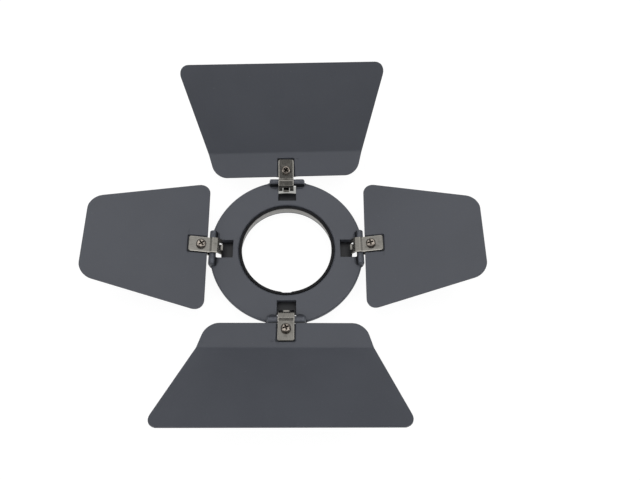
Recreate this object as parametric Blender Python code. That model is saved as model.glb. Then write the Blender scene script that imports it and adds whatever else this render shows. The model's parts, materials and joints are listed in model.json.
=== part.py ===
"""Barn door attachment for a small stage spotlight.

A cast ring with a spigot behind, four hinge bars cast on its face, a rubber
lip in its opening, and four sheet leaves. Each leaf is clamped between a
front and a rear clip by one screw and nut, and the two clips hook round the
bar, so the leaf swings on it.

Metres, +Z out of the front of the ring, +Y up, the rear end of the spigot at
z = 0. Hinge frame of each leaf: u out along the leaf, v along the bar, w
forward, with the bar's axis at u = w = 0.
"""

import math

import bmesh
import bpy
from mathutils import Matrix, Vector

MM = 0.001

# Ring
BORE_R = 26.1 * MM
LIP_R = 26.6 * MM
LIP_ROUND = 0.9 * MM
RING_R = 42.5 * MM
RING_BACK_Z = 6.2 * MM
RING_FRONT_Z = 9.2 * MM
RIM_FRONT_ROUND = 1.1 * MM
RIM_BACK_ROUND = 0.7 * MM
SEAL_LEDGE_Z = 7.1 * MM
HUB_R = RING_R - 5.7 * MM
HUB_BACK_Z = 2.8 * MM
SPIGOT_R = 30.5 * MM
SMALL_CHAMFER = 0.4 * MM
RING_STEPS = 96

# Slots, lugs and hinge bars, the same on all four sides
SLOT_WIDTH = 10.2 * MM
SLOT_FLOOR_Z = 4.8 * MM
BAR_AXIS_R = RING_R - 2.0 * MM
SLOT_INNER_R = BAR_AXIS_R - 10.8 * MM
BAR_AXIS_Z = 10.6 * MM
BAR_R = 1.9 * MM
BAR_LENGTH = 20.4 * MM
LUG_R = BAR_R + 0.1 * MM
LUG_FILLET = 1.0 * MM

# Seal
SEAL_INNER_R = 24.8 * MM
SEAL_OUTER_R = 26.3 * MM
SEAL_SKIRT_R = 25.9 * MM
SEAL_Z = (7.4 * MM, 8.6 * MM)
SEAL_FLANGE = 0.5 * MM
SEAL_FLAT_R = 25.2 * MM
SEAL_FLAT_WIDTH = 4.0 * MM

# Leaves
SHEET = 1.0 * MM
LEAF_INNER_U = 3.1 * MM
LEAF_LENGTH = 61.5 * MM
LEAF_FRONT_W = 2.6 * MM
LEAF_CORNER = 6.5 * MM
BIG_INNER_HALF = 40.5 * MM
BIG_OUTER_HALF = 56.3 * MM
SMALL_INNER_HALF = 37.4 * MM
SMALL_OUTER_HALF = 21.3 * MM
CREASE_U = 17.0 * MM
CREASE_BEND = math.radians(24.0)
CREASE_ROUND = 4.0 * MM
CREASE_STRIPS = 4
RECESS_DEPTH = 1.1 * MM
RECESS_GAP = 0.65 * MM
RECESS_SLOPE = 0.35 * MM

# Clips
GAP = 0.3 * MM
HOOK_GAP = 0.7 * MM
CLIP_SHEET = 0.8 * MM
CLIP_SIDE_PLAY = 0.8 * MM
CLIP_WIDTH = SLOT_WIDTH - 2 * CLIP_SIDE_PLAY
CLIP_END_U = 13.0 * MM
CLIP_CORNER = 1.2 * MM
CLIP_BEND = 0.9 * MM
ARM_BEND_U = BAR_R
HOOK_BEND_U = 0.5 * MM
HOOK_FAR_U = -2.3 * MM
TAIL_TIP = (-4.8 * MM, 0.7 * MM)
NOTCH_WIDTH = 4.2 * MM
NOTCH_START_U = -3.3 * MM
JOG_U = (3.2 * MM, 2.3 * MM)
UNDER_FAR_U = -1.9 * MM
TAB_START_U = -1.6 * MM
TAB_BEND = (-4.1 * MM, 0.0 * MM)
TAB_TIP = (-5.5 * MM, 0.3 * MM)
TAB_WIDTH = 3.4 * MM

# Screw and nut
SCREW_U = 6.5 * MM
SCREW_R = 1.5 * MM
HEAD_R = 2.6 * MM
HEAD_HEIGHT = 1.7 * MM
DRIVE_WIDTH = 0.7 * MM
DRIVE_SPAN = 3.0 * MM
DRIVE_DEPTH = 1.0 * MM
NUT_ACROSS_FLATS = 5.5 * MM
NUT_HEIGHT = 1.8 * MM
SCREW_BELOW_NUT = 0.5 * MM
SCREW_STEPS = 32

# Sizes that follow from the ones above; W is a height above the bar's axis
RECESS_WIDTH = CLIP_WIDTH + 2 * RECESS_GAP
RECESS_END_U = CLIP_END_U + RECESS_GAP
RECESS_FRONT_W = LEAF_FRONT_W - RECESS_DEPTH
RECESS_BACK_W = RECESS_FRONT_W - SHEET
ARM_W = RECESS_FRONT_W + GAP + CLIP_SHEET / 2
HOOK_W = BAR_R + HOOK_GAP + CLIP_SHEET / 2
REAR_ARM_W = RECESS_BACK_W - GAP - CLIP_SHEET / 2
REAR_HOOK_W = -(BAR_R + GAP + CLIP_SHEET / 2)
HEAD_BASE_W = ARM_W + CLIP_SHEET / 2 + GAP
NUT_FRONT_W = REAR_ARM_W - CLIP_SHEET / 2 - GAP

# side: direction of the side about Z, leaf angle at rest, play along the bar,
# turn of the leaf about its screw, and whether the leaf is a big creased one
SIDES = {
    "right": (0.0, 16.0, 0.5 * MM, -1.4, False),
    "top": (90.0, 19.5, 0.5 * MM, 1.4, True),
    "left": (180.0, 16.0, -0.5 * MM, 0.7, False),
    "bottom": (270.0, 15.6, 0.0, -0.7, True),
}


def clear_scene():
    """Remove whatever the scene opened with."""
    for thing in list(bpy.data.objects):
        bpy.data.objects.remove(thing, do_unlink=True)


def material(name, colour, metallic, roughness):
    """A Principled material of one colour."""
    made = bpy.data.materials.new(name)
    made.use_nodes = True
    shader = made.node_tree.nodes["Principled BSDF"]
    shader.inputs["Base Color"].default_value = (*colour, 1.0)
    shader.inputs["Metallic"].default_value = metallic
    shader.inputs["Roughness"].default_value = roughness
    return made


def new_object(name, mesh_data, paint=None):
    """Turn a bmesh into an object, with its faces pointing outwards."""
    bmesh.ops.remove_doubles(mesh_data, verts=mesh_data.verts, dist=1e-7)
    bmesh.ops.recalc_face_normals(mesh_data, faces=mesh_data.faces)
    mesh = bpy.data.meshes.new(name)
    mesh_data.to_mesh(mesh)
    mesh_data.free()
    thing = bpy.data.objects.new(name, mesh)
    bpy.context.scene.collection.objects.link(thing)
    if paint is not None:
        mesh.materials.append(paint)
    return thing


def revolved(name, profile, steps, paint=None):
    """A closed (r, z) outline turned round Z."""
    mesh_data = bmesh.new()
    rings = []
    for step in range(steps):
        angle = 2 * math.pi * step / steps
        ring = []
        for r, z in profile:
            ring.append(mesh_data.verts.new((r * math.cos(angle), r * math.sin(angle), z)))
        rings.append(ring)
    count = len(profile)
    for step in range(steps):
        here = rings[step]
        there = rings[(step + 1) % steps]
        for i in range(count):
            j = (i + 1) % count
            mesh_data.faces.new((here[i], here[j], there[j], there[i]))
    return new_object(name, mesh_data, paint)


def prism(name, outline, low, high, upright="w", paint=None, frame=None):
    """A flat outline pushed from low to high.

    With upright "w" the outline is (u, v) and it is pushed along w. With
    upright "v" the outline is (u, w) and it is pushed along v.
    """
    mesh_data = bmesh.new()
    ends = []
    for level in (low, high):
        end = []
        for a, b in outline:
            spot = (a, b, level) if upright == "w" else (a, level, b)
            end.append(mesh_data.verts.new(frame @ Vector(spot) if frame else spot))
        ends.append(end)
    mesh_data.faces.new(ends[0])
    mesh_data.faces.new(ends[1])
    count = len(outline)
    for i in range(count):
        j = (i + 1) % count
        mesh_data.faces.new((ends[0][i], ends[0][j], ends[1][j], ends[1][i]))
    return new_object(name, mesh_data, paint)


def arc(centre, radius, start, end, steps):
    """Points of an arc, angles in degrees."""
    points = []
    for step in range(steps + 1):
        angle = math.radians(start + (end - start) * step / steps)
        points.append((centre[0] + radius * math.cos(angle), centre[1] + radius * math.sin(angle)))
    return points


def rounded(points, radii, steps, closed=True):
    """A polyline with each corner replaced by an arc of its radius."""
    out = []
    count = len(points)
    for i, point in enumerate(points):
        radius = radii[i]
        if radius == 0 or (not closed and i in (0, count - 1)):
            out.append(point)
            continue
        here = Vector(point)
        back = (Vector(points[i - 1]) - here).normalized()
        ahead = (Vector(points[(i + 1) % count]) - here).normalized()
        half = back.angle(ahead) / 2
        centre = here + (back + ahead).normalized() * radius / math.sin(half)
        first = here + back * radius / math.tan(half) - centre
        last = here + ahead * radius / math.tan(half) - centre
        sweep = first.angle_signed(last)
        start = math.atan2(first.y, first.x)
        for step in range(steps + 1):
            angle = start - sweep * step / steps
            out.append((centre.x + radius * math.cos(angle), centre.y + radius * math.sin(angle)))
    return out


def bent_sheet(centre_line, thickness, bend, steps=4):
    """The outline, seen edge on, of a sheet bent along a centre line."""
    radii = [bend] * len(centre_line)
    line = rounded(centre_line, radii, steps, closed=False)
    one_side = []
    other_side = []
    for i, point in enumerate(line):
        before = Vector(line[max(i - 1, 0)])
        after = Vector(line[min(i + 1, len(line) - 1)])
        along = (after - before).normalized()
        across = Vector((-along.y, along.x)) * thickness / 2
        one_side.append(tuple(Vector(point) + across))
        other_side.append(tuple(Vector(point) - across))
    return one_side + other_side[::-1]


def combine(thing, other, operation):
    """Join or cut with another object, which is then removed."""
    change = thing.modifiers.new(operation.lower(), "BOOLEAN")
    change.object = other
    change.operation = operation
    change.solver = "EXACT"
    apply_modifiers(thing)
    bpy.data.objects.remove(other, do_unlink=True)


def apply_modifiers(thing):
    """Make the object's modifiers part of its mesh."""
    bpy.context.view_layer.update()
    depsgraph = bpy.context.evaluated_depsgraph_get()
    mesh = bpy.data.meshes.new_from_object(thing.evaluated_get(depsgraph))
    thing.modifiers.clear()
    thing.data = mesh


def smooth(thing, limit=35.0):
    """Smooth shading, with edges sharper than the limit kept hard."""
    thing.data.shade_smooth()
    thing.data.set_sharp_from_angle(angle=math.radians(limit))


def side_frame(direction):
    """Radial, tangential and forward axes of one side of the ring."""
    return Matrix.Rotation(math.radians(direction), 4, "Z")


def hinge_frame(direction, angle, along_bar):
    """Hinge frame of a leaf, at its bar, turned up by its angle."""
    place = Matrix.Translation((BAR_AXIS_R, along_bar, BAR_AXIS_Z))
    turn = Matrix.Rotation(-math.radians(angle), 4, "Y")
    return side_frame(direction) @ place @ turn


def ring_profile():
    """Half section of the ring, from the bore forwards and round."""
    lip_top = (LIP_R + LIP_ROUND, RING_FRONT_Z - LIP_ROUND)
    rim_top = (RING_R - RIM_FRONT_ROUND, RING_FRONT_Z - RIM_FRONT_ROUND)
    rim_back = (RING_R - RIM_BACK_ROUND, RING_BACK_Z + RIM_BACK_ROUND)
    profile = [(BORE_R, SMALL_CHAMFER), (BORE_R, SEAL_LEDGE_Z), (LIP_R, SEAL_LEDGE_Z)]
    profile += arc(lip_top, LIP_ROUND, 180, 90, 4)
    profile += arc(rim_top, RIM_FRONT_ROUND, 90, 0, 4)
    profile += arc(rim_back, RIM_BACK_ROUND, 0, -90, 3)
    profile += [
        (HUB_R, RING_BACK_Z),
        (HUB_R, HUB_BACK_Z + SMALL_CHAMFER),
        (HUB_R - SMALL_CHAMFER, HUB_BACK_Z),
        (SPIGOT_R, HUB_BACK_Z),
        (SPIGOT_R, SMALL_CHAMFER),
        (SPIGOT_R - SMALL_CHAMFER, 0.0),
        (BORE_R + SMALL_CHAMFER, 0.0),
    ]
    return profile


def make_ring(paint):
    """The casting: ring, spigot, slots, lugs and hinge bars."""
    ring = revolved("front_ring", ring_profile(), RING_STEPS, paint)
    lug_foot = RING_FRONT_Z - 2.2 * MM
    top = arc((BAR_AXIS_R, BAR_AXIS_Z), LUG_R, 0, 180, 10)
    inside = BAR_AXIS_R - LUG_R
    fillet = arc((inside - LUG_FILLET, RING_FRONT_Z + LUG_FILLET), LUG_FILLET, 0, -84, 5)
    lug = [(inside - LUG_FILLET * 0.9, lug_foot), (BAR_AXIS_R + LUG_R, lug_foot)] + top + fillet
    bar = arc((BAR_AXIS_R, BAR_AXIS_Z), BAR_R, 0, 345, 23)
    slot = [
        (SLOT_INNER_R, SLOT_FLOOR_Z),
        (RING_R + 4 * MM, SLOT_FLOOR_Z),
        (RING_R + 4 * MM, BAR_AXIS_Z + 4 * MM),
        (SLOT_INNER_R, BAR_AXIS_Z + 4 * MM),
    ]
    for name, (direction, *_rest) in SIDES.items():
        frame = side_frame(direction)
        for hand in (-1, 1):
            ends = sorted((hand * SLOT_WIDTH * 0.4, hand * BAR_LENGTH / 2))
            combine(ring, prism(name + "_lug", lug, *ends, "v", None, frame), "UNION")
        half = SLOT_WIDTH / 2
        combine(ring, prism(name + "_slot", slot, -half, half, "v", None, frame), "DIFFERENCE")
        reach = BAR_LENGTH / 2 - 1.2 * MM
        combine(ring, prism(name + "_bar", bar, -reach, reach, "v", None, frame), "UNION")
    smooth(ring, 30.0)
    return ring


def make_seal(paint):
    """The rubber lip in the opening: a flange and a skirt, with a flat cut at the bottom."""
    low, high = SEAL_Z
    inner = SEAL_INNER_R
    outer = SEAL_OUTER_R
    flange = high - SEAL_FLANGE
    corners = [(SEAL_SKIRT_R, low), (outer, low), (outer, high)]
    corners += [(inner, high), (inner, flange), (SEAL_SKIRT_R, flange)]
    radii = [0.0, 0.1 * MM, 0.15 * MM, 0.2 * MM, 0.2 * MM, 0.0]
    seal = revolved("aperture_seal", rounded(corners, radii, 2), RING_STEPS, paint)
    half = SEAL_FLAT_WIDTH / 2
    wide = half + 3 * MM
    cut = [(-half, -SEAL_FLAT_R), (half, -SEAL_FLAT_R), (wide, -inner * 0.96), (-wide, -inner * 0.96)]
    combine(seal, prism("flat", cut, low - 1 * MM, high + 1 * MM), "DIFFERENCE")
    smooth(seal, 40.0)
    return seal


def tapered_block(name, outline, low, high, grow):
    """A block over an outline of (u, v) corners, larger at the top by grow."""
    mesh_data = bmesh.new()
    middle_u = sum(u for u, _v in outline) / len(outline)
    ends = []
    for level, extra in ((low, 0.0), (high, grow)):
        end = []
        for u, v in outline:
            wide = v + math.copysign(extra, v)
            long = u + extra if u > middle_u else u
            end.append(mesh_data.verts.new((long, wide, level)))
        ends.append(end)
    mesh_data.faces.new(ends[0])
    mesh_data.faces.new(ends[1])
    count = len(outline)
    for i in range(count):
        j = (i + 1) % count
        mesh_data.faces.new((ends[0][i], ends[0][j], ends[1][j], ends[1][i]))
    return new_object(name, mesh_data)


def block_outline(start_u, end_u, half, corner):
    """Corners of a recess: square at the leaf's inner edge, rounded at its end."""
    corners = [(start_u, -half), (end_u, -half), (end_u, half), (start_u, half)]
    return rounded(corners, [0, corner, corner, 0], 4)


def round_bar(name, u, radius, low, high, steps=SCREW_STEPS):
    """A round cutter along w."""
    circle = arc((u, 0.0), radius, 0, 360 * (steps - 1) / steps, steps - 1)
    return prism(name, circle, low, high)


def bend_crease(leaf):
    """Fold the part of a big leaf beyond its crease forwards."""
    mesh_data = bmesh.new()
    mesh_data.from_mesh(leaf.data)
    middle_w = LEAF_FRONT_W - SHEET / 2
    length = CREASE_ROUND * CREASE_BEND
    start = CREASE_U - length / 2
    for strip in range(CREASE_STRIPS + 1):
        everything = mesh_data.verts[:] + mesh_data.edges[:] + mesh_data.faces[:]
        at = start + length * strip / CREASE_STRIPS
        bmesh.ops.bisect_plane(
            mesh_data, geom=everything, dist=1e-8, plane_co=(at, 0, 0), plane_no=(1, 0, 0)
        )
    for vert in mesh_data.verts:
        past = vert.co.x - start
        if past <= 1e-9:
            continue
        turned = min(past / CREASE_ROUND, CREASE_BEND)
        beyond = max(past - length, 0.0)
        depth = vert.co.z - middle_w
        reach = CREASE_ROUND - depth
        vert.co.x = start + reach * math.sin(turned) + beyond * math.cos(turned)
        vert.co.z = middle_w + CREASE_ROUND - reach * math.cos(turned) + beyond * math.sin(turned)
    mesh_data.to_mesh(leaf.data)
    mesh_data.free()


def make_leaf(name, big, skew, paint):
    """One leaf: a flat outline, a recess for the clips and a screw hole."""
    inner = BIG_INNER_HALF if big else SMALL_INNER_HALF
    outer = BIG_OUTER_HALF if big else SMALL_OUTER_HALF
    near = LEAF_INNER_U
    far = LEAF_INNER_U + LEAF_LENGTH
    corners = [(near, -inner), (far, -outer), (far, outer), (near, inner)]
    outline = rounded(corners, [LEAF_CORNER] * 4, 7)
    leaf = prism(name, outline, LEAF_FRONT_W - SHEET, LEAF_FRONT_W, "w", paint)
    half = RECESS_WIDTH / 2
    dish = block_outline(near, RECESS_END_U + SHEET, half + SHEET, 1.5 * MM)
    back = LEAF_FRONT_W - 0.4 * SHEET
    combine(leaf, tapered_block("dish", dish, RECESS_BACK_W, back, RECESS_SLOPE), "UNION")
    hollow = block_outline(near - 2 * MM, RECESS_END_U, half, 1.0 * MM)
    front = LEAF_FRONT_W + 0.6 * MM
    cutter = tapered_block("hollow", hollow, RECESS_FRONT_W, front, RECESS_SLOPE)
    combine(leaf, cutter, "DIFFERENCE")
    hole = SCREW_R + GAP
    combine(leaf, round_bar("hole", SCREW_U, hole, RECESS_BACK_W - SHEET, front), "DIFFERENCE")
    if big:
        bend_crease(leaf)
    pivot = Matrix.Translation((SCREW_U, 0, 0))
    turn = Matrix.Rotation(math.radians(skew), 4, "Z")
    leaf.data.transform(pivot @ turn @ pivot.inverted())
    smooth(leaf, 20.0)
    return leaf


def round_end_corners(thing, end_u, half, radius):
    """Round the two corners of a clip's free end."""
    mesh_data = bmesh.new()
    mesh_data.from_mesh(thing.data)
    chosen = []
    for edge in mesh_data.edges:
        middle = (edge.verts[0].co + edge.verts[1].co) / 2
        level = abs(edge.verts[0].co.z - edge.verts[1].co.z)
        at_corner = abs(middle.x - end_u) < 1e-6 and abs(abs(middle.y) - half) < 1e-6
        if at_corner and level > CLIP_SHEET / 2:
            chosen.append(edge)
    bmesh.ops.bevel(
        mesh_data, geom=chosen, offset=radius, segments=4, profile=0.5, affect="EDGES"
    )
    mesh_data.to_mesh(thing.data)
    mesh_data.free()


def make_front_clip(name, paint):
    """Arm in the recess, raised hook over the bar, notched tail behind it."""
    centre_line = [
        (CLIP_END_U, ARM_W),
        (ARM_BEND_U, ARM_W),
        (HOOK_BEND_U, HOOK_W),
        (HOOK_FAR_U, HOOK_W),
        TAIL_TIP,
    ]
    section = bent_sheet(centre_line, CLIP_SHEET, CLIP_BEND)
    half = CLIP_WIDTH / 2
    clip = prism(name, section, -half, half, "v", paint)
    round_end_corners(clip, CLIP_END_U, half, CLIP_CORNER)
    notch = [
        (TAIL_TIP[0] - 1 * MM, TAIL_TIP[1] - 1 * MM),
        (NOTCH_START_U, TAIL_TIP[1] - 1 * MM),
        (NOTCH_START_U, HOOK_W + 1 * MM),
        (TAIL_TIP[0] - 1 * MM, HOOK_W + 1 * MM),
    ]
    side = NOTCH_WIDTH / 2
    combine(clip, prism("notch", notch, -side, side, "v"), "DIFFERENCE")
    hole = SCREW_R + GAP
    combine(clip, round_bar("hole", SCREW_U, hole, 0.0, 2 * HOOK_W), "DIFFERENCE")
    smooth(clip)
    return clip


def make_rear_clip(name, paint):
    """Arm behind the leaf, hook under the bar, tab through the front notch."""
    under = REAR_HOOK_W
    centre_line = [
        (CLIP_END_U, REAR_ARM_W),
        (JOG_U[0], REAR_ARM_W),
        (JOG_U[1], under),
        (UNDER_FAR_U, under),
        TAB_BEND,
        TAB_TIP,
    ]
    section = bent_sheet(centre_line, CLIP_SHEET, CLIP_BEND)
    half = CLIP_WIDTH / 2
    clip = prism(name, section, -half, half, "v", paint)
    round_end_corners(clip, CLIP_END_U, half, CLIP_CORNER)
    tab = TAB_WIDTH / 2
    beside = [(-9.0 * MM, -6.0 * MM), (TAB_START_U, -6.0 * MM), (TAB_START_U, 2.0 * MM)]
    beside += [(-9.0 * MM, 2.0 * MM)]
    for hand in (-1, 1):
        ends = sorted((hand * tab, hand * CLIP_WIDTH))
        combine(clip, prism("beside", beside, *ends, "v"), "DIFFERENCE")
    hole = SCREW_R + GAP
    combine(clip, round_bar("hole", SCREW_U, hole, -2 * MM, 2 * MM), "DIFFERENCE")
    smooth(clip)
    return clip


def make_screw(name, paint):
    """Pan head screw with a cross recess, its point below the nut."""
    top = HEAD_BASE_W + HEAD_HEIGHT
    tip = NUT_FRONT_W - NUT_HEIGHT - SCREW_BELOW_NUT
    profile = [
        (0.2 * MM, top),
        (0.2 * MM, tip),
        (SCREW_R - 0.3 * MM, tip),
        (SCREW_R, tip + 0.3 * MM),
        (SCREW_R, HEAD_BASE_W),
        (HEAD_R, HEAD_BASE_W),
        (HEAD_R, HEAD_BASE_W + 0.7 * MM),
    ]
    profile += arc((HEAD_R - 1.0 * MM, top - 1.0 * MM), 1.0 * MM, 8, 90, 4)
    screw = revolved(name, profile, SCREW_STEPS, paint)
    core = round_bar("core", 0.0, 0.5 * MM, tip + 0.1 * MM, top - 0.1 * MM, 12)
    combine(screw, core, "UNION")
    low = top - DRIVE_DEPTH
    wide = DRIVE_WIDTH / 2
    long = DRIVE_SPAN / 2
    cross = [(wide, wide), (wide, long), (-wide, long), (-wide, wide)]
    cross += [(-long, wide), (-long, -wide), (-wide, -wide), (-wide, -long)]
    cross += [(wide, -long), (wide, -wide), (long, -wide), (long, wide)]
    combine(screw, prism("drive", cross, low, top + 1 * MM), "DIFFERENCE")
    screw.data.transform(Matrix.Translation((SCREW_U, 0, 0)))
    smooth(screw)
    return screw


def make_nut(name, paint):
    """Thin hexagon nut on the screw."""
    across = NUT_ACROSS_FLATS / math.sqrt(3)
    hexagon = arc((SCREW_U, 0.0), across, 30, 330, 5)
    low = NUT_FRONT_W - NUT_HEIGHT
    nut = prism(name, hexagon, low, NUT_FRONT_W, "w", paint)
    bore = round_bar("bore", SCREW_U, SCREW_R + GAP, low - 1 * MM, NUT_FRONT_W + 1 * MM, 24)
    combine(nut, bore, "DIFFERENCE")
    smooth(nut)
    return nut


def main():
    clear_scene()
    paint = material("grey_paint", (0.095, 0.105, 0.12), 0.0, 0.5)
    rubber = material("black_rubber", (0.015, 0.015, 0.016), 0.0, 0.7)
    plate = material("nickel_plate", (0.62, 0.6, 0.56), 1.0, 0.38)
    steel = material("zinc_steel", (0.72, 0.71, 0.68), 1.0, 0.28)
    make_ring(paint)
    make_seal(rubber)
    for name, (direction, angle, along_bar, skew, big) in SIDES.items():
        pieces = [
            make_leaf(name + "_leaf", big, skew, paint),
            make_front_clip(name + "_front_clip", plate),
            make_rear_clip(name + "_rear_clip", plate),
            make_screw(name + "_clamp_screw", steel),
            make_nut(name + "_clamp_nut", steel),
        ]
        for piece in pieces:
            piece.matrix_world = hinge_frame(direction, angle, along_bar)


main()
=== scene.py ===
"""Looks of a barn door attachment for a small stage spotlight.

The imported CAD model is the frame. Each CAD node is stood for by a finished
piece of the same size: the cast ring, its rubber seal, four sheet leaves and
the clips, screws and nuts that hold them to the hinge bars.
"""
import json
import math

import bmesh
import bpy
import numpy as np
from bpy.props import FloatProperty, FloatVectorProperty, PointerProperty
from bpy.types import Operator, Panel, PropertyGroup
from mathutils import Matrix, Vector


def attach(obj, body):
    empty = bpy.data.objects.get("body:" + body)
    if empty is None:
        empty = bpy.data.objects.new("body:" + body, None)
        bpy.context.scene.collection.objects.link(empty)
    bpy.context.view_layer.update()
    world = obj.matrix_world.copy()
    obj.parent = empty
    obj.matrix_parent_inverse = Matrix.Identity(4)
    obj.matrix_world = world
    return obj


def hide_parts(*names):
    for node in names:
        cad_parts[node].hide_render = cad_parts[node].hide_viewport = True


bl_info = {
    "name": "Barn door attachment",
    "version": (1, 0, 0),
    "blender": (4, 5, 0),
    "location": "View3D > Sidebar > Barn door",
    "description": "Ring, leaves, clips and fasteners of a barn door attachment",
    "category": "Object",
}

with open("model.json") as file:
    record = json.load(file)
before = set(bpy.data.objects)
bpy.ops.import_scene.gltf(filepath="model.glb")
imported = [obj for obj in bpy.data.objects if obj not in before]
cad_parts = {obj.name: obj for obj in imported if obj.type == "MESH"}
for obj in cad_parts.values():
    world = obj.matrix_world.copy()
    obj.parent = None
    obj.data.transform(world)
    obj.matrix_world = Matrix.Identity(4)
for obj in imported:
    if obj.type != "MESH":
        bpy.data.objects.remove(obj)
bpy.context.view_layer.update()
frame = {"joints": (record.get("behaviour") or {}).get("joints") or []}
MM = 0.001
SIDES = ("right", "top", "left", "bottom")
BIG_LEAVES = ("top", "bottom")
QUARTERS = (0, 90, 180, 270)
CLIP_SHIFT = {"right": 1.0, "top": 1.0, "left": -1.0, "bottom": 0.0}
SCREW_TURN = {"right": 0.2, "top": 1.0, "left": 0.65, "bottom": 0.3}
WHITE = (1.0, 1.0, 1.0)
FLAG_TOWARDS = (-0.03, -0.17, 0.985)
# Direction of a soft light, the setting of its radiance, and the cosines of its edge and core
SOFT_LIGHTS = (
    ((-0.87, -0.16, 0.47), "side_lights", 0.97, 0.99),
    ((0.87, -0.16, 0.47), "side_lights", 0.97, 0.99),
    ((0.0, 0.78, 0.62), "rear_light", 0.91, 0.98),
)


# ---- properties


def length(name, description, millimetres):
    """A length property, its default given in millimetres."""
    return FloatProperty(
        name=name, description=description, default=millimetres * MM, min=0.0,
        subtype="DISTANCE", unit="LENGTH", precision=5,
    )


def degrees(name, description, value):
    """An angle property, its default given in degrees."""
    return FloatProperty(
        name=name, description=description, default=math.radians(value),
        subtype="ANGLE", unit="ROTATION",
    )


def by_side(name, description, *values):
    """Angles of the right, top, left and bottom side, their defaults given in degrees."""
    return FloatVectorProperty(
        name=name, description=description, default=[math.radians(v) for v in values],
        size=len(SIDES), unit="ROTATION",
    )


def colour(name, description, value):
    """A colour property."""
    return FloatVectorProperty(
        name=name, description=description, default=value, min=0.0, max=1.0,
        size=3, subtype="COLOR",
    )


def share(name, description, value, top=1.0):
    """A plain number property."""
    return FloatProperty(name=name, description=description, default=value, min=0.0, max=top)


class RingSizes(PropertyGroup):
    """Sizes of the casting and its seal."""

    bore: length("Bore radius", "Radius of the bore behind the seal", 26.1)
    lip: length("Lip radius", "Radius of the opening in the front face", 26.6)
    lip_round: length("Lip rounding", "Rounding of the lip's front edge", 0.9)
    rim: length("Ring radius", "Outside radius of the ring", 42.5)
    rim_round: length("Rim rounding", "Rounding of the ring's front edge", 1.1)
    hub: length("Hub radius", "Radius of the step behind the ring", 36.8)
    spigot: length("Spigot radius", "Radius of the part that enters the lamp", 30.5)
    front: length("Front face", "Height of the front face", 9.2)
    back: length("Back face", "Height of the ring's back face", 6.2)
    hub_back: length("Hub back", "Height of the hub's back face", 2.8)
    ledge: length("Seal ledge", "Height of the ledge behind the seal", 7.1)
    slot_width: length("Slot width", "Width of the slots under the bars", 10.2)
    slot_inner: length("Slot end", "Radius at which a slot begins", 29.7)
    slot_floor: length("Slot floor", "Height of a slot's floor", 4.8)
    bar: length("Bar radius", "Radius of a hinge bar", 1.9)
    bar_length: length("Bar length", "Length of a hinge bar over its lugs", 20.4)
    lug: length("Lug half thickness", "Half thickness of the lugs", 2.0)
    lug_end: length("Lug end", "Rounded length of a lug's end", 1.1)
    fillet: length("Lug fillet", "Radius of the fillet at the lugs' inner foot", 1.0)
    seal_inner: length("Seal inside", "Inside radius of the rubber seal", 24.8)
    seal_outer: length("Seal outside", "Outside radius of the rubber seal", 26.3)
    seal_skirt: length("Seal skirt", "Inside radius of the seal's skirt", 25.9)
    seal_flange: length("Seal flange", "Thickness of the seal's flange", 0.5)
    seal_flat: length("Seal flat", "Distance of the flat from the middle", 25.2)
    seal_flat_width: length("Flat width", "Width of the seal's flat", 4.0)
    seal_low: length("Seal back", "Height of the seal's back face", 7.4)
    seal_high: length("Seal front", "Height of the seal's front face", 8.6)


class LeafSizes(PropertyGroup):
    """Sizes of the leaves, measured on the flat sheet."""

    sheet: length("Sheet", "Thickness of the sheet", 1.0)
    edge: length("Edge rounding", "Rounding of the sheet's edges", 0.22)
    front: length("Front above bar", "Height of the leaf's face above the bar's axis", 2.6)
    inner: length("Inner edge", "Distance from the bar to the leaf", 3.1)
    reach: length("Leaf length", "Length of a leaf", 61.5)
    corner: length("Corner radius", "Radius of the leaf's corners", 6.5)
    big_inner: length("Big leaf, inner half", "Half width at the bar", 40.5)
    big_outer: length("Big leaf, outer half", "Half width at the outer edge", 56.3)
    small_inner: length("Small leaf, inner half", "Half width at the bar", 37.4)
    small_outer: length("Small leaf, outer half", "Half width at the outer edge", 21.3)
    crease: length("Crease", "Distance from the bar to the crease", 17.0)
    crease_round: length("Crease radius", "Radius of the crease", 4.0)
    crease_bend: degrees("Crease bend", "Angle of the crease", 24.0)
    dish_gap: length("Recess gap", "Gap between the clip and the recess's wall", 0.65)
    dish_depth: length("Recess depth", "Depth of the recess", 1.1)
    dish_slope: length("Recess wall", "Width of the recess's sloping wall", 0.55)
    dish_corner: length("Recess corner", "Radius of the recess's corners", 1.0)
    rest: by_side("Rest angles", "Angle of each leaf at rest", 16.0, 19.5, 16.0, 15.6)
    skew: by_side("Skews", "Turn of each leaf about its screw", -1.4, 1.4, 0.7, -0.7)


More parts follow.
